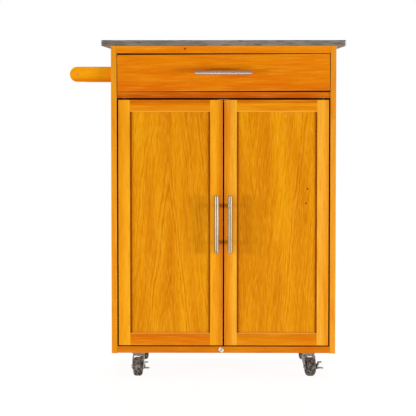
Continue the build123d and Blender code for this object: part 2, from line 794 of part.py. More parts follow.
single_pieces = {
    "worktop_skin": worktop_skin.part,
    "worktop_core": worktop_core.part,
    "side_panel_left": side_panel_left,
    "side_panel_right": side_panel_right,
    "bottom_board": bottom_board,
    "top_rail_front": top_rail_front,
    "top_rail_back": top_rail_back,
    "middle_rail": middle_rail,
    "back_panel": back_panel.part,
    "shelf_board": shelf_board.part,
    "shelf_pins": shelf_pins.part,
    "carcass_bolts": carcass_bolts.part,
    "wood_screws": wood_screws.part,
    "pivot_bushes": pivot_bushes.part,
    "magnetic_catch": magnetic_catch.part,
    "turn_button": turn_button.part,
    "towel_arm_front": towel_arm_front,
    "towel_arm_rear": towel_arm_rear,
    "towel_bar": towel_bar.part,
    "drawer_front": drawer_front.part,
    "drawer_side_left": drawer_side_left,
    "drawer_side_right": drawer_side_right,
    "drawer_back": drawer_back.part,
    "drawer_bottom": drawer_bottom.part,
    "drawer_handle": drawer_handle,
    "drawer_screws": drawer_screws.part,
    "cabinet_runners": cabinet_runners.part,
    "drawer_runners": drawer_runners.part,
    "cabinet_rollers": roller_pair(front_roller_y),
    "drawer_rollers": roller_pair(rear_roller_y),
    "caster_plates": caster_plates.part,
}
for name, part in single_pieces.items():
    write(part, name)
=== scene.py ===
"""The looks of a kitchen island cart: orange-stained rubberwood, ash-veneered door panels,
a worktop folded from brushed stainless steel, satin steel T-bar handles, and zinc-plated
casters with grey rubber tyres. Places are in metres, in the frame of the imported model. The
outlines and corners of small pieces are in mm."""

import json
import math

import bmesh
import bpy
from mathutils import Matrix, Vector


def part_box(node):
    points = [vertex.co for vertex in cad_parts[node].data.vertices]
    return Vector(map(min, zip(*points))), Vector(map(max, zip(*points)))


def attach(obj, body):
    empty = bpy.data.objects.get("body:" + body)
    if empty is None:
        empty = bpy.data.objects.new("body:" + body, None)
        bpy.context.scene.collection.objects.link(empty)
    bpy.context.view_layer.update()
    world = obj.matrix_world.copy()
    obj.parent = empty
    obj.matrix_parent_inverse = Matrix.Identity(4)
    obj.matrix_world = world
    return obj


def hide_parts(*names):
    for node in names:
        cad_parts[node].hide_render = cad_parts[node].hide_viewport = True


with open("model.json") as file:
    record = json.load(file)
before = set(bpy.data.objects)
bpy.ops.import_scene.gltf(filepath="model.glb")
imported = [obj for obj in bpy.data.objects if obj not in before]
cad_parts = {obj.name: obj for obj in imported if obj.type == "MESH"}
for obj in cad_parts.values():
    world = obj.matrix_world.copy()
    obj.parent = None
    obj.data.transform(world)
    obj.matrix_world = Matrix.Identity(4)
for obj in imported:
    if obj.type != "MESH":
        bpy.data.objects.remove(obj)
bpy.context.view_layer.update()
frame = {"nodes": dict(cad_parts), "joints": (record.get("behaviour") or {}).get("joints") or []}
cad = frame["nodes"]
MM = 0.001

# ---- Where things are, read from the frame ------------------------------------------------------

left_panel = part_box("side_panel_left")
right_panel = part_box("side_panel_right")
middle_x = (left_panel[0].x + right_panel[1].x) / 2
front_y = left_panel[0].y
back_y = left_panel[1].y
inner_left = left_panel[1].x
inner_right = right_panel[0].x
floor_z = 0.0


# ---- Shader helpers -----------------------------------------------------------------------------


def hex_colour(code):
    """A linear RGBA colour from an sRGB hex value."""
    parts = [int(code[i : i + 2], 16) / 255 for i in (0, 2, 4)]
    linear = [c / 12.92 if c <= 0.04045 else ((c + 0.055) / 1.055) ** 2.4 for c in parts]
    return (*linear, 1.0)


def add(tree, kind, inputs=None, out=0, stops=(), **settings):
    """Adds one shader node with its settings, and its inputs as values or outputs to link.

    A hex value stands for a colour. stops are a ramp's (position, hex colour) pairs, its two
    ends first. Returns the output asked for."""
    made = tree.nodes.new("ShaderNode" + kind)
    for name, value in settings.items():
        setattr(made, name, value)
    for place, value in (inputs or {}).items():
        if isinstance(value, bpy.types.NodeSocket):
            tree.links.new(value, made.inputs[place])
        else:
            made.inputs[place].default_value = hex_colour(value) if isinstance(value, str) else value
    for i, (position, code) in enumerate(stops):
        elements = made.color_ramp.elements
        element = elements[i] if i < 2 else elements.new(position)
        element.position = position
        element.color = hex_colour(code)
    return made.outputs[out] if made.outputs else None


def new_material(name, surface_of):
    """A material whose surface is what surface_of(tree) makes."""
    made = bpy.data.materials.new(name)
    made.use_nodes = True
    tree = made.node_tree
    tree.nodes.clear()
    add(tree, "OutputMaterial", {"Surface": surface_of(tree)})
    return made


def along_grain(tree, grain, across, along, seed):
    """Coordinates where one unit is `across` mm over the grain axis and `along` mm with it."""
    scale = [1000 / across] * 3
    scale["xyz".index(grain)] = 1000 / along
    inputs = {
        "Vector": add(tree, "TexCoord", out="Object"),
        "Scale": scale,
        "Location": (seed * 7.3, seed * 3.1, seed * 5.7),
    }
    return add(tree, "Mapping", inputs)


def grain_noise(tree, grain, across, along, seed, detail=2.0):
    """Streaks about `across` mm wide and `along` mm long, from 0 to 1 and mostly near 0.5."""
    place = along_grain(tree, grain, across, along, seed)
    return add(tree, "TexNoise", {"Vector": place, "Scale": 1.0, "Detail": detail})


def tinted(tree, colour, amount, value, start, full, tint):
    """The colour mixed towards a tint, by up to `amount`, as value goes from start to full."""
    inputs = {"Value": value, "From Min": start, "From Max": full, "To Min": 0.0, "To Max": amount}
    depth = add(tree, "MapRange", inputs)
    return add(tree, "Mix", {0: depth, 6: colour, 7: tint}, out=2, data_type="RGBA")


# ---- Wood ---------------------------------------------------------------------------------------


def growth_rings(tree, grain, across, heart, taper, seed):
    """How far a point lies from the heart of the log, in mm, on a board sawn beside it.

    heart is where the board passes the heart, along its across axis. taper makes the rings
    close into arches along the grain: it is the rings crossed per mm of length."""
    place = add(tree, "TexCoord", out="Object")
    over = add(tree, "SeparateXYZ", {0: place}, out=across.upper())
    length = add(tree, "SeparateXYZ", {0: place}, out=grain.upper())
    centred = add(tree, "Math", {0: over, 1: 1000.0, 2: -1000 * heart}, operation="MULTIPLY_ADD")
    slow = grain_noise(tree, grain, 45, 240, seed)
    quick = grain_noise(tree, grain, 12, 60, seed + 0.5)
    bent = add(tree, "Math", {0: slow, 1: 26.0, 2: centred}, operation="MULTIPLY_ADD")
    wavy = add(tree, "Math", {0: quick, 1: 6.0, 2: bent}, operation="MULTIPLY_ADD")
    ragged = grain_noise(tree, grain, 4, 16, seed + 0.8)
    frayed = add(tree, "Math", {0: ragged, 1: 3.0, 2: wavy}, operation="MULTIPLY_ADD")
    squared = add(tree, "Math", {0: frayed, 1: frayed, 2: 30.0}, operation="MULTIPLY_ADD")
    distance = add(tree, "Math", {0: squared}, operation="SQRT")
    return add(tree, "Math", {0: length, 1: 1000 * taper, 2: distance}, operation="MULTIPLY_ADD")


def worn_and_highlit_edges(tree, colour):
    """The colour with the stain worn thin and a painted highlight where an edge of the board is rounded
    over.
    """
    normal = add(tree, "VectorMath", {0: add(tree, "TexCoord", out="Normal")}, operation="ABSOLUTE")
    sides = [add(tree, "SeparateXYZ", {0: normal}, out=axis) for axis in "XYZ"]
    most = add(tree, "Math", {0: sides[0], 1: sides[1]}, operation="MAXIMUM")
    squareness = add(tree, "Math", {0: most, 1: sides[2]}, operation="MAXIMUM")
    # Painted highlight, with worn stain: rounded edges turn pale gold.
    return tinted(tree, colour, 0.45, squareness, 0.985, 0.85, "FFC050")


def on_faces(tree, colour, axis, tint, amount):
    """The colour with the faces that look along an axis in another tone: stain on end grain, painted shade
    on faces in the gaps.
    """
    normal = add(tree, "VectorMath", {0: add(tree, "TexCoord", out="Normal")}, operation="ABSOLUTE")
    squareness = add(tree, "SeparateXYZ", {0: normal}, out=axis.upper())
    return tinted(tree, colour, amount, squareness, 0.8, 0.95, tint)


def rubberwood(name, board, seed, stave=0.0, ends="B85A06", edges=None, knots=()):
    """Rubberwood, planed, stained orange and lacquered: an even wood with soft streaks and
    short dark pores. Each board runs from a darker tone on one side to a lighter one on the other.

    board is its grain and across axes, the tones of its dark and light sides, and where those
    are along the across axis. With a stave width, in mm, it is glued up from staves, each a
    little darker or lighter than the next. edges is a deeper tone for the long edges: painted
    shade on their faces in the gaps between the fronts. knots are small sound ones, each with
    its place and its radius in mm."""
    grain, across, dark, light, dark_at, light_at = board

    def surface(tree):
        place = add(tree, "TexCoord", out="Object")
        over = add(tree, "SeparateXYZ", {0: place}, out=across.upper())
        wander = grain_noise(tree, grain, 40, 330, seed)
        drift = add(tree, "Math", {0: wander, 1: 0.016, 2: over}, operation="MULTIPLY_ADD")
        # The noise has a mean of 0.5, so the drift moves everything by 8 mm.
        limits = {"From Min": dark_at + 0.008, "From Max": light_at + 0.008}
        side = add(tree, "MapRange", {"Value": drift, **limits}, interpolation_type="SMOOTHSTEP")
        colour = add(tree, "Mix", {0: side, 6: dark, 7: light}, out=2, data_type="RGBA")
        if stave:
            stave_place = along_grain(tree, grain, stave, 380, seed)
            cell = add(tree, "VectorMath", {0: stave_place}, operation="FLOOR")
            tone = add(tree, "TexWhiteNoise", {"Vector": cell})
            colour = tinted(tree, colour, 0.5, tone, 0.5, 1.0, dark)
            colour = tinted(tree, colour, 0.4, tone, 0.5, 0.0, light)
        # Growth rings show as bands about 9 mm wide.
        rings = growth_rings(tree, grain, across, dark_at, 0.03, seed + 1)
        band_place = add(tree, "Math", {0: rings, 1: 1 / 9}, operation="MULTIPLY")
        bands = add(tree, "TexNoise", {"W": band_place, "Scale": 1.0, "Detail": 2.0}, noise_dimensions="1D")
        colour = tinted(tree, colour, 0.30, bands, 0.52, 0.75, "D06400")
        clouds = grain_noise(tree, grain, 20, 150, seed + 4)
        colour = tinted(tree, colour, 0.45, clouds, 0.5, 0.75, "F29A06")
        colour = tinted(tree, colour, 0.40, clouds, 0.5, 0.25, "DC5E00")
        fibres = grain_noise(tree, grain, 2.4, 70, seed + 2, detail=3.0)
        colour = tinted(tree, colour, 0.34, fibres, 0.52, 0.72, "CC6200")
        colour = tinted(tree, colour, 0.30, fibres, 0.48, 0.28, "FFB638")
        # Pores are 0.3 mm wide on the wood; they are drawn 0.9 mm wide so that they show.
        pores = grain_noise(tree, grain, 0.9, 14, seed + 3, detail=1.0)
        colour = tinted(tree, colour, 0.22, pores, 0.62, 0.72, "9E4400")
        for centre, radius in knots:
            offset = add(tree, "VectorMath", {0: place, 1: centre}, operation="SUBTRACT")
            distance = add(tree, "VectorMath", {0: offset}, out="Value", operation="LENGTH")
            colour = tinted(tree, colour, 0.85, distance, radius * MM * 1.3, radius * MM * 0.6, "961C00")
        colour = on_faces(tree, worn_and_highlit_edges(tree, colour), grain, ends, 0.75)
        # Painted shade: the long edge faces, which lie in the gaps between the fronts, are deepened.
        if edges:
            colour = on_faces(tree, colour, across, edges, 0.9)
        bump = add(tree, "Bump", {"Strength": 0.10, "Distance": 0.0003, "Height": fibres})
        gloss = add(tree, "MapRange", {"Value": fibres, "To Min": 0.34, "To Max": 0.5})
        inputs = {"Base Color": colour, "Roughness": gloss, "Specular IOR Level": 0.03, "Normal": bump}
        return add(tree, "BsdfPrincipled", inputs)

    return new_material(name, surface)


def ash_veneer(name, heart, taper, groove_x, flaws, seed):
    """Plain-sawn ash veneer, stained and lacquered: nested arches over the heart of the log and
    straight streaks beside it, with open pores along the grain, golden under the stain.

    groove_x are where the panel meets its two stiles, and painted shade darkens the groove beside
    them. flaws are pin knots and specks, each with its x, z, radius in mm and colour."""

    def surface(tree):
        rings = growth_rings(tree, "z", "x", heart, taper, seed)
        # Rings are 2 to 6 mm apart.
        ring_place = add(tree, "Math", {0: rings, 1: 1 / 4.5}, operation="MULTIPLY")
        lines = add(tree, "TexNoise", {"W": ring_place, "Scale": 1.0, "Detail": 3.0}, noise_dimensions="1D")
        broad = grain_noise(tree, "z", 38, 420, seed + 1)
        colour = add(
            tree, "ValToRGB", {"Fac": broad}, stops=[(0.3, "D88000"), (0.7, "F0A008"), (0.5, "E69103")]
        )
        colour = tinted(tree, colour, 0.48, lines, 0.5, 0.72, "C06800")
        colour = tinted(tree, colour, 0.46, lines, 0.5, 0.24, "F0A41C")
        # The open pores are drawn 1.2 mm wide so that they show.
        pores = grain_noise(tree, "z", 1.2, 26, seed + 2, detail=2.0)
        colour = tinted(tree, colour, 0.46, pores, 0.54, 0.70, "B06000")
        colour = tinted(tree, colour, 0.34, pores, 0.46, 0.3, "FCC040")
        place = add(tree, "TexCoord", out="Object")
        for x, z, radius, tint in flaws:
            offset = add(tree, "VectorMath", {0: place, 1: (x, 0, z)}, operation="SUBTRACT")
            flat = add(tree, "VectorMath", {0: offset, 1: (1, 0, 0.7)}, operation="MULTIPLY")
            distance = add(tree, "VectorMath", {0: flat}, out="Value", operation="LENGTH")
            colour = tinted(tree, colour, 0.85, distance, radius * MM * 1.4, radius * MM * 0.5, tint)
        over = add(tree, "SeparateXYZ", {0: place}, out="X")
        # Painted shade in the grooves: the panel darkens over its last 6 mm towards each stile.
        for edge, inward in zip(groove_x, (1, -1)):
            clear, darkest_shade_at = edge + inward * 6 * MM, edge + inward * 3 * MM
            colour = tinted(tree, colour, 0.3, over, clear, darkest_shade_at, "A04A04")
        bump = add(tree, "Bump", {"Strength": 0.18, "Distance": 0.0003, "Height": pores})
        inputs = {"Base Color": colour, "Roughness": 0.42, "Specular IOR Level": 0.03, "Normal": bump}
        return add(tree, "BsdfPrincipled", inputs)

    return new_material(name, surface)


def birch_ply(name, grain, seed):
    """Sealed birch plywood of the drawer box and back: pale, quiet, with faint broad figure."""

    def surface(tree):
        broad = grain_noise(tree, grain, 60, 400, seed)
        colour = add(tree, "ValToRGB", {"Fac": broad}, stops=[(0.35, "CE9E64"), (0.65, "D9AC76")])
        fibres = grain_noise(tree, grain, 1.8, 50, seed + 1, detail=3.0)
        colour = tinted(tree, colour, 0.4, fibres, 0.52, 0.75, "B27C40")
        bump = add(tree, "Bump", {"Strength": 0.1, "Distance": 0.0003, "Height": fibres})
        inputs = {"Base Color": colour, "Roughness": 0.55, "Specular IOR Level": 0.2, "Normal": bump}
        return add(tree, "BsdfPrincipled", inputs)

    return new_material(name, surface)


# ---- Metal, plastic and rubber ------------------------------------------------------------------


def brushed_steel(name, tone, dark, grain, roughness, seed, patch, wear=0.3):
    """Steel rubbed with an abrasive belt: fine lines one way, which stretch the highlights, and
    soft darker patches where it has been handled. patch is their width in mm, and wear is how
    strongly short scuffs darken it."""

    def surface(tree):
        lines = grain_noise(tree, grain, 0.5, 60, seed)
        patches = grain_noise(tree, grain, patch, patch * 2.5, seed + 1)
        mixed = add(tree, "Math", {0: lines, 1: 0.4, 2: patches}, operation="MULTIPLY_ADD")
        colour = add(tree, "ValToRGB", {"Fac": mixed}, stops=[(0.2, dark), (0.9, tone)])
        scuffs = grain_noise(tree, grain, 3, 35, seed + 2, detail=3.0)
        colour = tinted(tree, colour, wear, scuffs, 0.5, 0.68, dark)
        span = {"To Min": roughness - 0.06, "To Max": roughness + 0.06}
        gloss = add(tree, "MapRange", {"Value": lines, **span})
        bump = add(tree, "Bump", {"Strength": 0.02, "Distance": 0.0002, "Height": lines})
        inputs = {"Base Color": colour, "Metallic": 1.0, "Roughness": gloss, "Normal": bump}
        return add(tree, "BsdfPrincipled", inputs)

    return new_material(name, surface)


def zinc_plate(name, seed):
    """Bright zinc plating on pressed steel: a grey mirror dulled in soft, cool spangles."""

    def surface(tree):
        place = add(tree, "TexCoord", out="Object")
        # Spangles are 5 mm across.
        spangle = add(tree, "TexVoronoi", {"Vector": place, "Scale": 1000 / 5}, out="Color")
        shade = add(tree, "SeparateColor", {0: spangle}, out=0)
        cloud = add(tree, "TexNoise", {"Vector": place, "Scale": 1000 / 14, "Detail": 4.0})
        colour = add(tree, "ValToRGB", {"Fac": cloud}, stops=[(0.35, "9A9C98"), (0.65, "C6C8C2")])
        colour = tinted(tree, colour, 0.2, shade, 0.3, 1.0, "8C9298")
        gloss = add(tree, "MapRange", {"Value": cloud, "To Min": 0.3, "To Max": 0.5})
        bump = add(tree, "Bump", {"Strength": 0.08, "Distance": 0.0002, "Height": cloud})
        inputs = {"Base Color": colour, "Metallic": 1.0, "Roughness": gloss, "Normal": bump}
        return add(tree, "BsdfPrincipled", inputs)

    return new_material(name, surface)


def moulded(name, tone, mark, roughness, grit, specular, seed):
    """Moulded plastic or rubber: an even colour, the mould's fine texture, and marks of use."""

    def surface(tree):
        place = along_grain(tree, "z", 1, 1, seed)
        texture = add(tree, "TexNoise", {"Vector": place, "Scale": 1 / grit, "Detail": 3.0})
        marks = add(tree, "TexNoise", {"Vector": place, "Scale": 1 / 6, "Detail": 5.0})
        colour = tinted(tree, tone, 0.85, marks, 0.42, 0.66, mark)
        bump = add(tree, "Bump", {"Strength": 0.15, "Distance": 0.0002, "Height": texture})
        span = {"To Min": roughness - 0.1, "To Max": roughness + 0.1}
        gloss = add(tree, "MapRange", {"Value": texture, **span})
        inputs = {"Base Color": colour, "Roughness": gloss, "Specular IOR Level": specular, "Normal": bump}
        return add(tree, "BsdfPrincipled", inputs)

    return new_material(name, surface)


# ---- The finish of each piece -------------------------------------------------------------------

# piece: grain, across, dark side's tone, light side's tone, and where across the piece they are,
# as shares of its width from its left, front or lower edge.
boards = {
    "door_left_outer_stile": ("z", "x", "EE9608", "FBB022", 0.05, 0.8),
    "door_left_inner_stile": ("z", "x", "DC7202", "FAAC1C", 1.0, 0.3),
    "door_left_top_rail": ("x", "z", "D46A02", "EA900A", 0.95, 0.45),
    "door_left_bottom_rail": ("x", "z", "D67204", "E2820A", 0.9, 0.2),
    "door_right_outer_stile": ("z", "x", "EC900A", "FBB238", 1.0, 0.3),
    "door_right_inner_stile": ("z", "x", "E07E04", "FCB430", 0.0, 0.85),
    "door_right_top_rail": ("x", "z", "D66E02", "EC960A", 0.8, 0.68),
    "door_right_bottom_rail": ("x", "z", "D67A06", "E68C0C", 0.9, 0.2),
    "drawer_front": ("x", "z", "E47604", "EE8806", 0.0, 1.0),
    "top_rail_front": ("x", "z", "EC8206", "F6960A", 0.0, 1.0),
    "top_rail_back": ("x", "z", "D87406", "E4840A", 0.0, 1.0),
    # The middle rail's darker tones are painted shade, for its place set back between the drawer front and
    # the doors.
    "middle_rail": ("x", "z", "C05004", "D06006", 0.0, 1.0),
    "bottom_board": ("x", "y", "CC6406", "D67408", 1.0, 0.0),
    "shelf_board": ("x", "y", "DA7606", "E88A0E", 1.0, 0.0),
    "side_panel_left": ("z", "y", "DE800C", "EC9A1C", 1.0, 0.0),
    "side_panel_right": ("z", "y", "E0860C", "EE9E2C", 1.0, 0.0),
    "towel_arm_front": ("x", "z", "E68204", "FAA40A", 0.0, 0.5),
    "towel_arm_rear": ("x", "z", "E68204", "FAA40A", 0.0, 0.5),
    "towel_bar": ("y", "z", "DC7A06", "EC940C", 0.0, 1.0),
}
glued_from_staves = ("bottom_board", "shelf_board", "side_panel_left", "side_panel_right")
stave_width = 52.0
rail_low, rail_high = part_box("top_rail_front")
knots = {
    "top_rail_front": [((middle_x - 0.101, front_y, (rail_low.z + rail_high.z) / 2 + 0.002), 3.2)],
}

finishes = {}
for number, (piece, (grain, across, dark, light, dark_at, light_at)) in enumerate(boards.items()):
    low, high = (getattr(corner, across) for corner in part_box(piece))
    dark_at, light_at = low + dark_at * (high - low), low + light_at * (high - low)
    finishes[piece] = rubberwood(
        f"stained_rubberwood_{piece}",
        (grain, across, dark, light, dark_at, light_at),
        seed=number + 1.0,
        stave=stave_width if piece in glued_from_staves else 0.0,
        ends="EE9C34" if piece == "towel_bar" else "B85A06",
        # Painted shade in the gaps: a deep red-brown on the long edge faces of the doors and drawer front.
        edges="AC4606" if piece.startswith(("door", "drawer")) else None,
        knots=knots.get(piece, ()),
    )

panel_tongue = 7 * MM          # how far each door panel stands in its stiles
for side in ("left", "right"):
    low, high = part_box(f"door_{side}_panel")
    edges = (low.x + panel_tongue, high.x - panel_tongue)
    if side == "left":
        heart, taper, flaws = edges[0] + 0.117, 0.11, []
    else:
        heart, taper = edges[0] + 0.064, -0.1
        flaws = [
            (edges[1] - 0.025, low.z + 0.388, 2.2, "5A2400"),
            (edges[1] - 0.029, low.z + 0.350, 2.2, "5A2400"),
            (edges[1] - 0.083, low.z + 0.579, 1.3, "F0C478"),
        ]
    name = f"door_{side}_panel"
    finishes[name] = ash_veneer(f"ash_veneer_{side}", heart, taper, edges, flaws, seed=21.0 + edges[0] * 3)

ply_across = birch_ply("birch_ply_across", "x", 31.0)
ply_deep = birch_ply("birch_ply_deep", "y", 32.0)
ply_tall = birch_ply("birch_ply_tall", "z", 33.0)
finishes["drawer_back"] = finishes["drawer_bottom"] = ply_across
finishes["drawer_side_left"] = finishes["drawer_side_right"] = ply_deep
finishes["back_panel"] = ply_tall

finishes["worktop_skin"] = brushed_steel(
    "brushed_stainless_skin", "CABEB2", "5E564C", "x", 0.36, 41.0, patch=60.0, wear=0.85
)
finishes["worktop_core"] = moulded("grey_laminate_backing", "CFC8C2", "B4ACA4", 0.6, 1.2, 0.2, 42.0)
# One satin steel in two copies, painted highlight and painted shade: the drawer handle's is bright, the
# door handles' dark. The warm tint is a painted reflection of the orange wood.
satin_steel_painted_highlight = brushed_steel("satin_steel_drawer_handle", "F8ECDC", "B4A896", "x", 0.2, 43.0, patch=30.0)
satin_steel_painted_shade = brushed_steel("satin_steel_door_handle", "B0A28E", "7C7060", "z", 0.42, 44.0, patch=30.0)
finishes["drawer_handle"] = satin_steel_painted_highlight
finishes["door_left_handle"] = finishes["door_right_handle"] = satin_steel_painted_shade

zinc = zinc_plate("bright_zinc_plate", 45.0)
dark_steel = brushed_steel("oiled_steel_pivots_and_catch", "3C3430", "2A2420", "x", 0.45, 51.0, patch=20.0)
finishes["door_left_pivot_pins"] = finishes["door_right_pivot_pins"] = dark_steel
finishes["magnetic_catch"] = dark_steel
nylon = moulded("white_nylon_rollers", "E6E2DA", "D2CCC0", 0.5, 0.8, 0.35, 46.0)
# The pivot bushes are dark brown as painted shade, so that they sit dark in the shaded gaps between the
# doors.
bush_tone_painted_shade = moulded("pivot_bushes_painted_shade", "4A2410", "5C3016", 0.5, 0.8, 0.2, 47.0)
white_plastic = moulded("white_plastic_button", "F2EEE6", "DCD6CA", 0.35, 0.9, 0.35, 48.0)
grey_plastic = moulded("grey_plastic_hub", "6A655E", "837D75", 0.5, 0.8, 0.3, 49.0)
rubber = moulded("grey_rubber_tyre", "362F29", "978D81", 0.75, 0.7, 0.2, 50.0)
finishes["cabinet_rollers"] = finishes["drawer_rollers"] = nylon
finishes["pivot_bushes"] = bush_tone_painted_shade
finishes["turn_button"] = white_plastic

for name, piece in cad.items():
    finish = rubber if name.endswith("wheel") else finishes.get(name, zinc)
    piece.data.materials.clear()
    piece.data.materials.append(finish)

# ---- Turned pieces: wheels, race cups, screws and bolts -----------------------------------------


def turned(name, outlines, places, finish, body, steps=32):
    """One object of turned solids, repeated at each place, with its axis along local X.

    An outline is a closed run of (radius, along) points in mm, from axis to axis or round a
    ring. A radius may be a function of the angle, for a socket."""
    mesh = bmesh.new()
    for place in places:
        for outline in outlines:
            rings = []
            for step in range(steps):
                angle = 2 * math.pi * step / steps
                ring = []
                for radius, along in outline:
                    reach = radius(angle) if callable(radius) else radius
                    local = Vector((along, reach * math.cos(angle), reach * math.sin(angle))) * MM
                    ring.append(mesh.verts.new(place @ local))
                rings.append(ring)
            for step in range(steps):
                here, there = rings[step], rings[(step + 1) % steps]
                for i in range(len(outline)):
                    j = (i + 1) % len(outline)
                    mesh.faces.new((here[i], here[j], there[j], there[i]))
    bmesh.ops.remove_doubles(mesh, verts=mesh.verts, dist=1e-6)
    bmesh.ops.recalc_face_normals(mesh, faces=mesh.faces)
    data = bpy.data.meshes.new(name)
    mesh.to_mesh(data)
    mesh.free()
    data.materials.append(finish)
    data.shade_smooth()
    data.set_sharp_from_angle(angle=math.radians(32))
    made = bpy.data.objects.new(name, data)
    bpy.context.scene.collection.objects.link(made)
    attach(made, body)
    return made


def facing(direction, place):
    """The place of a turned piece whose axis points along a direction."""
    turn = Vector((1, 0, 0)).rotation_difference(Vector(direction)).to_matrix().to_4x4()
    return Matrix.Translation(place) @ turn


def rounded(outline, radius, segments=4):
    """A closed outline with each corner that lies off the axis rounded over."""
    made = []
    count = len(outline)
    for i, corner in enumerate(outline):
        before, after = outline[i - 1], outline[(i + 1) % count]
        here = Vector(corner)
        back, ahead = Vector(before) - here, Vector(after) - here
        reach = min(radius, 0.45 * back.length, 0.45 * ahead.length)
        if corner[0] == 0 or reach < 0.01:
            made.append(corner)
            continue
        start, end = here + back.normalized() * reach, here + ahead.normalized() * reach
        for step in range(segments + 1):
            t = step / segments
            made.append(tuple(start * (1 - t) ** 2 + here * 2 * t * (1 - t) + end * t * t))
    return made


def blocks(name, placed, finish, body, bevel=0.2):
    """One object of small plates, each a place with its low and high corners in mm."""
    mesh = bmesh.new()
    for place, low, high in placed:
        size = [(b - a) * MM for a, b in zip(low, high)]
        middle = [(a + b) / 2 * MM for a, b in zip(low, high)]
        shape = place @ Matrix.Translation(middle) @ Matrix.Diagonal((*size, 1.0))
        bmesh.ops.create_cube(mesh, size=1.0, matrix=shape)
    bmesh.ops.bevel(mesh, geom=mesh.edges[:], offset=bevel * MM, segments=2, affect="EDGES")
    bmesh.ops.recalc_face_normals(mesh, faces=mesh.faces)
    data = bpy.data.meshes.new(name)
    mesh.to_mesh(data)
    mesh.free()
    data.materials.append(finish)
    made = bpy.data.objects.new(name, data)
    bpy.context.scene.collection.objects.link(made)
    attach(made, body)
    return made


def cross_recess(reach, half_width):
    """The radius of a cross recess, as a function of the angle round the screw."""

    def radius(angle):
        turn = angle % (math.pi / 2)
        turn = min(turn, math.pi / 2 - turn)
        return min(reach / math.cos(turn), half_width / max(math.sin(turn), 1e-6))

    return radius


def hex_socket(across_flats):
    """The radius of a hexagonal socket, as a function of the angle round the bolt."""

    def radius(angle):
        return across_flats / 2 / math.cos((angle + math.pi / 6) % (math.pi / 3) - math.pi / 6)

    return radius


def threaded(shank, start, length, pitch=2.6, ridge=0.35):
    """The outline of a threaded shank, from its start to its pointed end."""
    made = [(shank, start)]
    along = start + pitch
    while along < length - 3:
        made += [(shank - ridge, along), (shank, along + pitch / 2)]
        along += pitch
    return made + [(shank - ridge, length - 2.5), (0, length)]


def countersunk(length, shank=1.75, head=3.5):
    """A countersunk wood screw with a cross recess; its head's face is at 0."""
    arm, half_width, depth = head * 0.62, head * 0.17, head * 0.4
    floor_of_recess, mouth = cross_recess(arm * 0.7, half_width * 0.8), cross_recess(arm, half_width)
    recess = [(0, depth), (floor_of_recess, depth), (mouth, 0)]
    return recess + [(head - 0.1, 0), (head, 0.12)] + threaded(shank, head - shank, length)


def pan_head(length, shank=2.0, head=4.0, rise=2.5):
    """A machine screw with a domed head and a cross recess; the head stands on 0."""
    arm, half_width = head * 0.6, head * 0.17
    floor_of_recess, mouth = cross_recess(arm * 0.7, half_width), cross_recess(arm, half_width)
    recess = [(0, 0.6 - rise), (floor_of_recess, 0.6 - rise), (mouth, -rise)]
    dome = [(head * 0.75, -rise), (head * 0.93, -rise * 0.8), (head, -rise * 0.4), (head, 0)]
    return recess + dome + threaded(shank, 0, length, pitch=1.2, ridge=0.2)


# ---- Casters ------------------------------------------------------------------------------------

joints = {joint["name"]: joint for joint in frame["joints"]}
plate_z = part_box("caster_plates")[1].z - 2 * MM      # underside of the plates

# From the wheel's middle to the faces that the domes of the axle's rivet heads stand on. The
# brake lever puts one of them further out.
plain_rivet = 16.5 * MM
braked_rivet = 18.4 * MM

wheel_radius = 25.0
shoulder = 7.5                 # rounding of the tread's edges
half_tread = 4.5               # of its flat middle
arc = [math.radians(15 * step) for step in range(7)]
one_side = [(wheel_radius - shoulder * (1 - math.cos(a)), half_tread + shoulder * math.sin(a)) for a in arc]
bead = [(16.8, 11.7), (16.5, 10.9), (15.5, 10.6)]
right_side = one_side + bead
tyre_outline = [(r, -x) for r, x in reversed(right_side)] + right_side
rim = [(15.45, 10.0), (14.2, 10.4), (13.6, 9.8), (13.2, 5.4)]
half_hub = rim + [(7.2, 6.2), (6.8, 11.3), (6.3, 11.8), (3.08, 11.8)]
hub_outline = [(r, -x) for r, x in reversed(half_hub)] + half_hub
spacer_outline = [(3.1, 11.85), (5.4, 11.85), (5.4, 13.1), (3.1, 13.1)]
dome_outline = [(0, 0), (4.7, 0), (4.5, 0.6), (3.4, 1.2), (1.8, 1.5), (0, 1.6)]
race_shape = [(12.1, 0.1), (19, 0.1), (19, 1.6), (17.6, 2.4), (16.6, 8.2), (12.1, 8.2)]
race_outline = rounded(race_shape, 0.9)

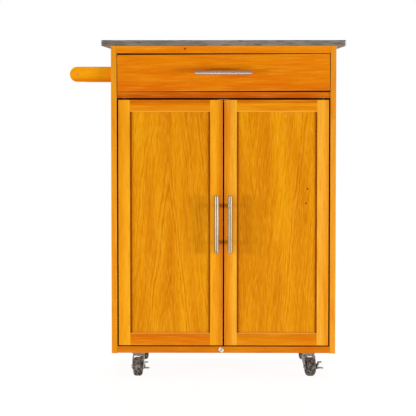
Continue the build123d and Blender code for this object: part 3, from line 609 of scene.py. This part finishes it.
caster_turn = {}
for corner in ("front_left", "front_right", "rear_left", "rear_right"):
    spin = joints[f"wheel_{corner}_spin"]
    swivel = joints[f"caster_{corner}_swivel"]
    axle = facing(spin["axis"], spin["pos_m"])
    wheel, fork = f"wheel_{corner}", f"caster_{corner}"
    plate_place = (swivel["pos_m"][0], swivel["pos_m"][1], plate_z)
    heading = math.atan2(spin["axis"][1], spin["axis"][0])
    caster_turn[corner] = Matrix.Translation(plate_place) @ Matrix.Rotation(heading, 4, "Z")

    tyre = turned(f"caster_{corner}_tyre", [tyre_outline], [axle], rubber, wheel, steps=64)
    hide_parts(f"caster_{corner}_wheel")
    turned(f"caster_{corner}_hub", [hub_outline], [axle], grey_plastic, wheel, steps=48)
    ribs = []
    for number in range(6):
        around = axle @ Matrix.Rotation(math.radians(60 * number), 4, "X")
        for low, high in ((5.0, 9.2), (-9.2, -5.0)):
            ribs.append((around, (low, -0.8, 6.6), (high, 0.8, 13.7)))
    blocks(f"caster_{corner}_hub_ribs", ribs, grey_plastic, wheel, bevel=0.3)
    flipped = axle @ Matrix.Rotation(math.pi, 4, "Z")
    turned(f"caster_{corner}_spacers", [spacer_outline], [axle, flipped], zinc, wheel)
    far_side = braked_rivet if corner.startswith("front") else plain_rivet
    heads = [
        axle @ Matrix.Translation((far_side, 0, 0)),
        axle @ Matrix.Translation((-plain_rivet, 0, 0)) @ Matrix.Rotation(math.pi, 4, "Z"),
    ]
    turned(f"caster_{corner}_rivet_heads", [dome_outline], heads, zinc, fork)
    down = facing((0, 0, -1), plate_place)
    turned(f"caster_{corner}_race_cup", [race_outline], [down], zinc, "cabinet", steps=48)

# ---- Screws and bolts ---------------------------------------------------------------------------


def middle(node, axis):
    """The middle of a CAD node along an axis."""
    low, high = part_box(node)
    return (getattr(low, axis) + getattr(high, axis)) / 2


bolt_inset = 60 * MM           # of the bottom board's bolts, from the front and the back
spread = 200 * MM              # of the long screws, either side of the middle
arm_screw_rise = 10 * MM       # above and below the middle of a towel arm
runner_inset = 40 * MM         # of the runners' screws, from the runners' ends
runner_rise = 26 * MM          # of the runners' screws, above the runners' lower edge
sheet = 1.2 * MM               # thickness of the runners
plate_hole = 15 * MM           # from the middle of a caster plate, both ways
catch_ear = 21.5 * MM          # from the middle of the catch to the screw in its ear
ear_thickness = 2.5 * MM
button_shift = 6 * MM          # of the turn button, to the left of the middle
button_screw_rise = 3.1 * MM   # of the underside of its screw's head, before the cabinet's front
drawer_reaches = (60, 180, 300)  # of the drawer's rail screws, from the front of its side, in mm
rail_rise = 4 * MM             # of those screws, above the lower edge of the drawer's side
fronts_thickness = 18 * MM
half_posts = 48 * MM           # from the middle of a handle to either post

bolt_places = []
bolt_spots = [
    (middle("top_rail_front", "y"), middle("top_rail_front", "z")),
    (middle("top_rail_back", "y"), middle("top_rail_back", "z")),
    (middle("middle_rail", "y"), middle("middle_rail", "z")),
    (front_y + bolt_inset, middle("bottom_board", "z")),
    (back_y - bolt_inset, middle("bottom_board", "z")),
]
for y, z in bolt_spots:
    bolt_places.append(facing((1, 0, 0), (left_panel[0].x, y, z)))
    bolt_places.append(facing((-1, 0, 0), (right_panel[1].x, y, z)))
socket = hex_socket(4.0)
bolt_outline = [(0, 2.4), (socket, 2.4), (socket, 0), (4.9, 0), (5, 0.15)] + threaded(2.5, 2.5, 50)
bolts = turned("carcass_bolts_socket", [bolt_outline], bolt_places, zinc, "cabinet", steps=48)
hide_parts("carcass_bolts")

long_screws = []
for rail in ("top_rail_front", "top_rail_back"):
    for x in (middle_x - spread, middle_x + spread):
        long_screws.append(facing((0, 0, 1), (x, middle(rail, "y"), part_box(rail)[0].z)))
for x in (middle_x - spread, middle_x, middle_x + spread):
    for board in ("bottom_board", "top_rail_back"):
        long_screws.append(facing((0, -1, 0), (x, back_y, middle(board, "z"))))
arm_screws = []
for arm in ("towel_arm_front", "towel_arm_rear"):
    for rise in (-arm_screw_rise, arm_screw_rise):
        arm_screws.append(facing((-1, 0, 0), (inner_left, middle(arm, "y"), middle(arm, "z") + rise)))

runner_low, runner_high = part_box("cabinet_runners")
small_screws = []
for y in (runner_low.y + runner_inset, middle("cabinet_runners", "y"), runner_high.y - runner_inset):
    small_screws.append(facing((-1, 0, 0), (inner_left + sheet, y, runner_low.z + runner_rise)))
    small_screws.append(facing((1, 0, 0), (inner_right - sheet, y, runner_low.z + runner_rise)))
for corner in caster_turn:
    for x in (-plate_hole, plate_hole):
        for y in (-plate_hole, plate_hole):
            small_screws.append(facing((0, 0, 1), caster_turn[corner] @ Vector((x, y, 0))))
catch_low, catch_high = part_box("magnetic_catch")
catch_screws = []
for x in (-catch_ear, catch_ear):
    ear = (middle_x + x, middle("magnetic_catch", "y"), catch_high.z - ear_thickness)
    catch_screws.append(facing((0, 0, 1), ear))
button_place = (middle_x - button_shift, front_y - button_screw_rise, middle("turn_button", "z"))
button_screw = [facing((0, 1, 0), button_place)]

screw_sets = [
    ("rail_and_back_screws", countersunk(28), long_screws, "cabinet"),
    ("towel_arm_screws", countersunk(45), arm_screws, "cabinet"),
    ("runner_and_plate_screws", countersunk(13), small_screws, "cabinet"),
    ("catch_screws", countersunk(14, head=3.0), catch_screws, "cabinet"),
    ("button_screw", pan_head(15, shank=1.25, head=2.6, rise=1.2), button_screw, "cabinet"),
]

side_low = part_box("drawer_side_left")[0]
side_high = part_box("drawer_side_right")[1]
drawer_screw_places = []
for reach in drawer_reaches:
    y = side_low.y + reach * MM
    z = side_low.z + rail_rise
    drawer_screw_places.append(facing((1, 0, 0), (side_low.x - sheet, y, z)))
    drawer_screw_places.append(facing((-1, 0, 0), (side_high.x + sheet, y, z)))
rail_screw = countersunk(12, shank=1.5, head=2.7)
screw_sets.append(("drawer_rail_screws", rail_screw, drawer_screw_places, "drawer"))

fronts_back_y = front_y + fronts_thickness
handle_screw = pan_head(32)
handle_z = middle("drawer_handle", "z")
drawer_posts = []
for x in (middle_x - half_posts, middle_x + half_posts):
    drawer_posts.append(facing((0, -1, 0), (x, fronts_back_y, handle_z)))
screw_sets.append(("drawer_handle_screws", handle_screw, drawer_posts, "drawer"))
strike_screw = countersunk(12, shank=1.5, head=2.7)
for side in ("left", "right"):
    door, handle, strike = f"door_{side}", f"door_{side}_handle", f"door_{side}_strike"
    x, z = middle(handle, "x"), middle(handle, "z")
    posts = [facing((0, -1, 0), (x, fronts_back_y, z + rise)) for rise in (-half_posts, half_posts)]
    screw_sets.append((f"{handle}_screws", handle_screw, posts, door))
    place = (middle(strike, "x"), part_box(strike)[1].y, middle(strike, "z"))
    screw_sets.append((f"{strike}_screw", strike_screw, [facing((0, -1, 0), place)], door))

shown = {
    "rail_and_back_screws": "wood_screws",
    "drawer_rail_screws": "drawer_screws",
    "door_left_handle_screws": "door_left_screws",
    "door_right_handle_screws": "door_right_screws",
}
for name, outline, places, body in screw_sets:
    screws = turned(name, [outline], places, zinc, body, steps=24)
    if name in shown:
        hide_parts(shown[name])

# Two pole plates, one above the other, stand 0.15 mm proud of the front of the catch.
poles = []
catch_place = Matrix.Translation((middle_x, catch_low.y, catch_low.z))
for low in (2.5, 8.0):
    poles.append((catch_place, (-14, -0.15, low), (14, 3, low + 1.4)))
blocks("catch_pole_plates", poles, satin_steel_painted_highlight, "cabinet", bevel=0.1)

# ---- Floor, light and camera --------------------------------------------------------------------


def floor_surface(tree):
    """Plain white studio paper, faintly mottled, which fades into the white beyond it."""
    place = add(tree, "TexCoord", out="Object")
    mottle = add(tree, "TexNoise", {"Vector": place, "Scale": 1.5, "Detail": 2.0})
    base = add(tree, "ValToRGB", {"Fac": mottle}, stops=[(0.3, "545454"), (0.7, "5A5A5A")])
    # The paper glows to the camera, as an evenly lit sweep does, and less to the cart.
    seen = add(tree, "LightPath", out="Is Camera Ray")
    inputs = {
        "Base Color": base,
        "Roughness": 0.9,
        "Specular IOR Level": 0.1,
        "Emission Color": (1.0, 1.0, 1.0, 1.0),
        "Emission Strength": add(tree, "MapRange", {"Value": seen, "To Min": 0.54, "To Max": 0.94}),
    }
    paper = add(tree, "BsdfPrincipled", inputs)
    clear = add(tree, "BsdfTransparent")
    reach = add(tree, "VectorMath", {0: place}, out="Value", operation="LENGTH")
    fade = add(tree, "MapRange", {"Value": reach, "From Min": 0.9, "From Max": 2.2})
    return add(tree, "MixShader", {0: fade, 1: paper, 2: clear})


bpy.ops.mesh.primitive_plane_add(size=4.6, location=(middle_x, 0, floor_z))
floor = bpy.context.object
floor.name = "studio_floor"
floor.data.materials.append(new_material("studio_floor", floor_surface))

world = bpy.data.worlds.new("studio")
world.use_nodes = True
world.node_tree.nodes.clear()
seen = add(world.node_tree, "LightPath", out="Is Camera Ray")
strength = add(world.node_tree, "MapRange", {"Value": seen, "To Min": 0.34, "To Max": 1.0})
background = add(world.node_tree, "Background", {"Color": (1, 1, 1, 1), "Strength": strength})
add(world.node_tree, "OutputWorld", {"Surface": background})
bpy.context.scene.world = world


def soft_light(name, place, target, size, power):
    """A large soft box that faces the cart."""
    data = bpy.data.lights.new(name, "AREA")
    data.shape = "RECTANGLE"
    data.size, data.size_y = size
    data.energy = power
    light = bpy.data.objects.new(name, data)
    light.location = place
    light.rotation_euler = (Vector(target) - Vector(place)).to_track_quat("-Z", "Y").to_euler()
    bpy.context.scene.collection.objects.link(light)


soft_light("soft_box_left", (-2.0, front_y - 1.35, 0.5), (middle_x, front_y, 0.5), (0.9, 0.4), 25.5)
soft_light("soft_box_right", (2.1, front_y - 1.35, 0.5), (middle_x, front_y, 0.5), (0.9, 0.4), 30)
soft_light("soft_box_low", (middle_x, front_y - 1.6, 0.05), (middle_x, front_y, 0.7), (1.6, 0.3), 4)
soft_light("soft_box_behind", (0.2, back_y + 2.0, 1.9), (0, 0, 0.5), (1.6, 1.2), 34)

camera_distance = 5.0          # from the cabinet's front
camera_side = 0.0185           # of the camera, to the right of the cabinet's middle
camera_height = 0.770
aim_side = -0.0408             # of the point it looks at, from the cabinet's middle
aim_z = 0.4503
lens = 164.5

camera_data = bpy.data.cameras.new("camera")
camera_data.lens = lens
camera_data.sensor_width = 36.0
camera = bpy.data.objects.new("camera", camera_data)
camera.location = (middle_x + camera_side, front_y - camera_distance, camera_height)
aim = Vector((middle_x + aim_side, front_y, aim_z))
camera.rotation_euler = (aim - camera.location).to_track_quat("-Z", "Y").to_euler()
bpy.context.scene.collection.objects.link(camera)
bpy.context.scene.camera = camera

view = bpy.context.scene.view_settings
view.view_transform = "Standard"
view.look = "None"
